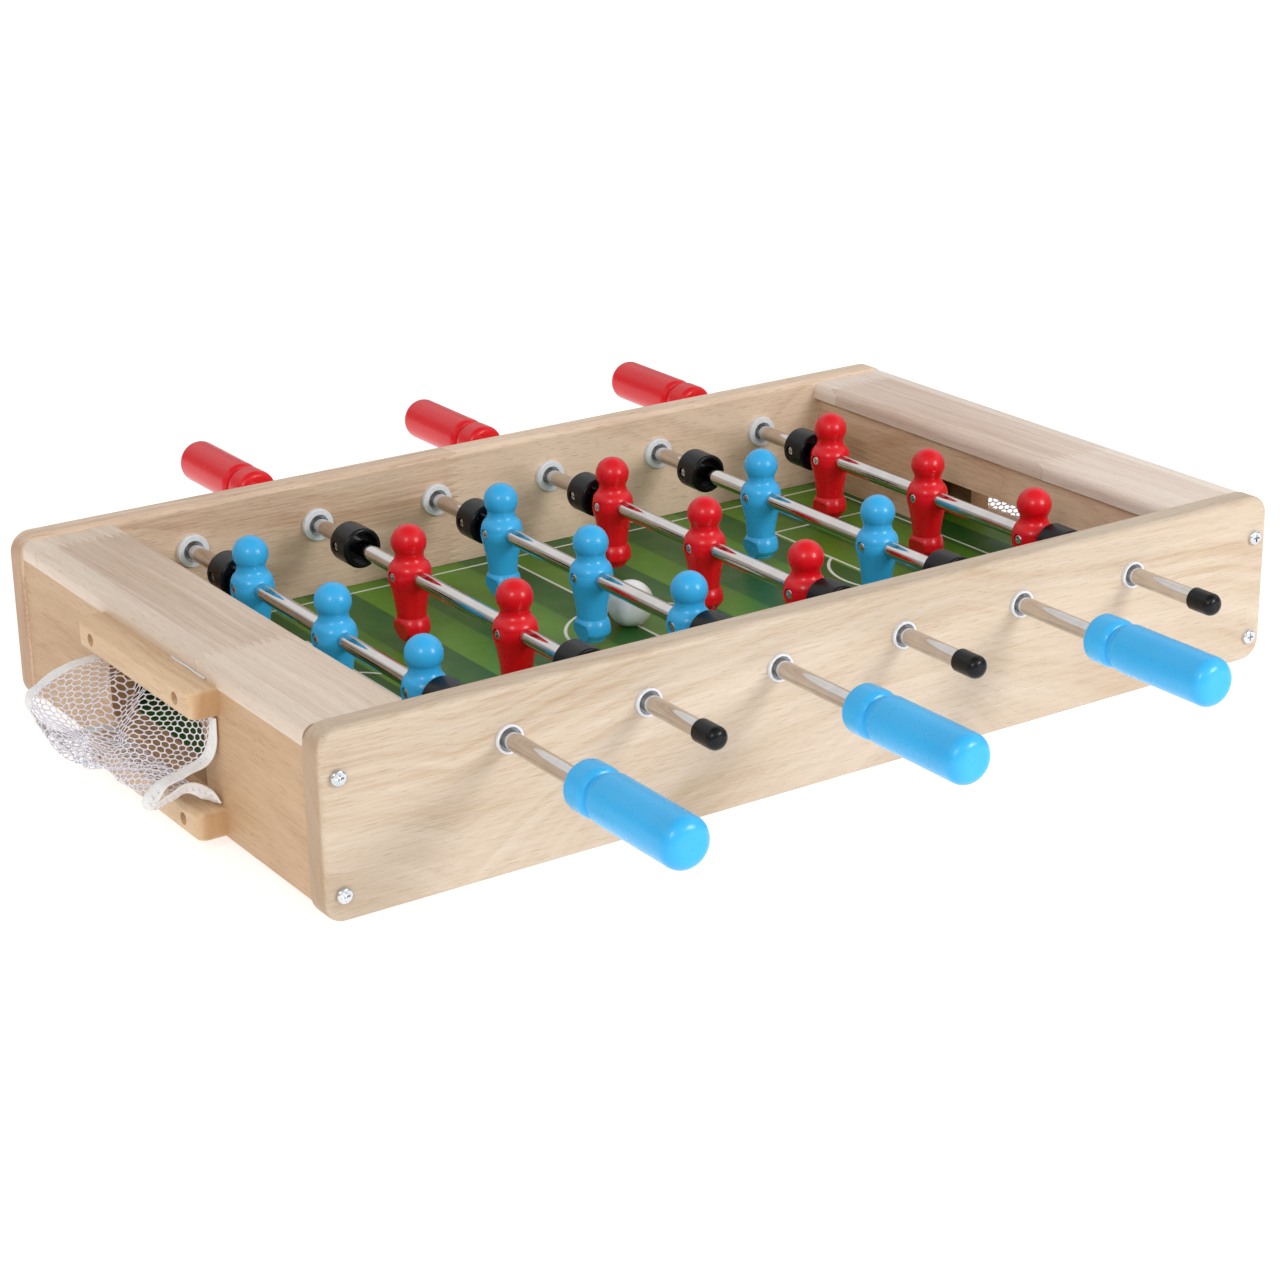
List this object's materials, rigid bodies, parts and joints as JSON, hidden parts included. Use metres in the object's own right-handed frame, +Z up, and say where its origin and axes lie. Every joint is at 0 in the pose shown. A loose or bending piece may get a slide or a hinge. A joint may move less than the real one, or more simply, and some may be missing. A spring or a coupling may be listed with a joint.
{
  "type": "tabletop football game",
  "caption": "Shallow wooden tabletop football game with a green pitch, sliding and spinning rods of turned players, a net pocket behind each goal and a ball.",
  "frame": {"origin": "middle of the table, on the plane that the side boards stand on", "axes": "+X along the table from the left goal to the right goal, +Y across the table towards the back, +Z up"},
  "size_m": [0.5876, 0.5555, 0.0844],
  "materials": {
    "rubberwood": "clear-lacquered pale rubberwood with finger joints",
    "pitch_green": "printed green playing surface with white lines",
    "zinc_steel": "zinc-plated screws",
    "chrome_steel": "polished chromed tube",
    "blue_lacquer": "glossy blue lacquer over turned wood",
    "red_lacquer": "glossy red lacquer over turned wood",
    "black_rubber": "black moulded rubber",
    "white_nylon": "natural white nylon",
    "net_white": "white knitted mesh with cotton tape hems",
    "ball_white": "matt white ball"
  },
  "bodies": {
    "table": {"front_side_board": "rubberwood", "back_side_board": "rubberwood", "left_end_board": "rubberwood", "right_end_board": "rubberwood", "left_goal_board": "rubberwood", "right_goal_board": "rubberwood", "left_end_rail": "rubberwood", "right_end_rail": "rubberwood", "pitch_board": "pitch_green", "frame_screws": "zinc_steel", "rod_bushings": "white_nylon", "net_battens": "rubberwood", "goal_nets": "net_white"},
    "blue_rod_1_carrier": {"blue_rod_1_end_cap": "black_rubber"},
    "blue_rod_1_assembly": {"blue_rod_1": "chrome_steel", "blue_rod_1_handle": "blue_lacquer", "blue_rod_1_bumpers": "black_rubber", "blue_rod_1_screws": "zinc_steel", "blue_rod_1_player_1": "blue_lacquer", "blue_rod_1_player_2": "blue_lacquer", "blue_rod_1_player_3": "blue_lacquer"},
    "red_rod_2_carrier": {"red_rod_2_end_cap": "black_rubber"},
    "red_rod_2_assembly": {"red_rod_2": "chrome_steel", "red_rod_2_handle": "red_lacquer", "red_rod_2_bumpers": "black_rubber", "red_rod_2_screws": "zinc_steel", "red_rod_2_player_1": "red_lacquer", "red_rod_2_player_2": "red_lacquer"},
    "blue_rod_3_carrier": {"blue_rod_3_end_cap": "black_rubber"},
    "blue_rod_3_assembly": {"blue_rod_3": "chrome_steel", "blue_rod_3_handle": "blue_lacquer", "blue_rod_3_bumpers": "black_rubber", "blue_rod_3_screws": "zinc_steel", "blue_rod_3_player_1": "blue_lacquer", "blue_rod_3_player_2": "blue_lacquer", "blue_rod_3_player_3": "blue_lacquer"},
    "red_rod_4_carrier": {"red_rod_4_end_cap": "black_rubber"},
    "red_rod_4_assembly": {"red_rod_4": "chrome_steel", "red_rod_4_handle": "red_lacquer", "red_rod_4_bumpers": "black_rubber", "red_rod_4_screws": "zinc_steel", "red_rod_4_player_1": "red_lacquer", "red_rod_4_player_2": "red_lacquer", "red_rod_4_player_3": "red_lacquer"},
    "blue_rod_5_carrier": {"blue_rod_5_end_cap": "black_rubber"},
    "blue_rod_5_assembly": {"blue_rod_5": "chrome_steel", "blue_rod_5_handle": "blue_lacquer", "blue_rod_5_bumpers": "black_rubber", "blue_rod_5_screws": "zinc_steel", "blue_rod_5_player_1": "blue_lacquer", "blue_rod_5_player_2": "blue_lacquer"},
    "red_rod_6_carrier": {"red_rod_6_end_cap": "black_rubber"},
    "red_rod_6_assembly": {"red_rod_6": "chrome_steel", "red_rod_6_handle": "red_lacquer", "red_rod_6_bumpers": "black_rubber", "red_rod_6_screws": "zinc_steel", "red_rod_6_player_1": "red_lacquer", "red_rod_6_player_2": "red_lacquer", "red_rod_6_player_3": "red_lacquer"},
    "ball": {"ball": "ball_white"}
  },
  "joints": [
    {"name": "blue_rod_1_slide", "type": "slide", "parent": "table", "child": "blue_rod_1_carrier", "axis": [0, 1, 0], "range_m": [-0.0219, 0.0329]},
    {"name": "blue_rod_1_spin", "type": "hinge", "parent": "blue_rod_1_carrier", "child": "blue_rod_1_assembly", "pos_m": [-0.16875, 0, 0.06], "axis": [0, 1, 0], "continuous": true},
    {"name": "red_rod_2_slide", "type": "slide", "parent": "table", "child": "red_rod_2_carrier", "axis": [0, 1, 0], "range_m": [-0.0264, 0.0284]},
    {"name": "red_rod_2_spin", "type": "hinge", "parent": "red_rod_2_carrier", "child": "red_rod_2_assembly", "pos_m": [-0.10125, 0, 0.06], "axis": [0, 1, 0], "continuous": true},
    {"name": "blue_rod_3_slide", "type": "slide", "parent": "table", "child": "blue_rod_3_carrier", "axis": [0, 1, 0], "range_m": [-0.0219, 0.0329]},
    {"name": "blue_rod_3_spin", "type": "hinge", "parent": "blue_rod_3_carrier", "child": "blue_rod_3_assembly", "pos_m": [-0.03375, 0, 0.06], "axis": [0, 1, 0], "continuous": true},
    {"name": "red_rod_4_slide", "type": "slide", "parent": "table", "child": "red_rod_4_carrier", "axis": [0, 1, 0], "range_m": [-0.026, 0.0288]},
    {"name": "red_rod_4_spin", "type": "hinge", "parent": "red_rod_4_carrier", "child": "red_rod_4_assembly", "pos_m": [0.03375, 0, 0.06], "axis": [0, 1, 0], "continuous": true},
    {"name": "blue_rod_5_slide", "type": "slide", "parent": "table", "child": "blue_rod_5_carrier", "axis": [0, 1, 0], "range_m": [-0.0258, 0.029]},
    {"name": "blue_rod_5_spin", "type": "hinge", "parent": "blue_rod_5_carrier", "child": "blue_rod_5_assembly", "pos_m": [0.10125, 0, 0.06], "axis": [0, 1, 0], "continuous": true},
    {"name": "red_rod_6_slide", "type": "slide", "parent": "table", "child": "red_rod_6_carrier", "axis": [0, 1, 0], "range_m": [-0.0237, 0.0311]},
    {"name": "red_rod_6_spin", "type": "hinge", "parent": "red_rod_6_carrier", "child": "red_rod_6_assembly", "pos_m": [0.16875, 0, 0.06], "axis": [0, 1, 0], "continuous": true},
    {"name": "ball_lift", "type": "slide", "parent": "table", "child": "ball", "axis": [0, 0, 1], "range_m": [0, 0.08]}
  ]
}
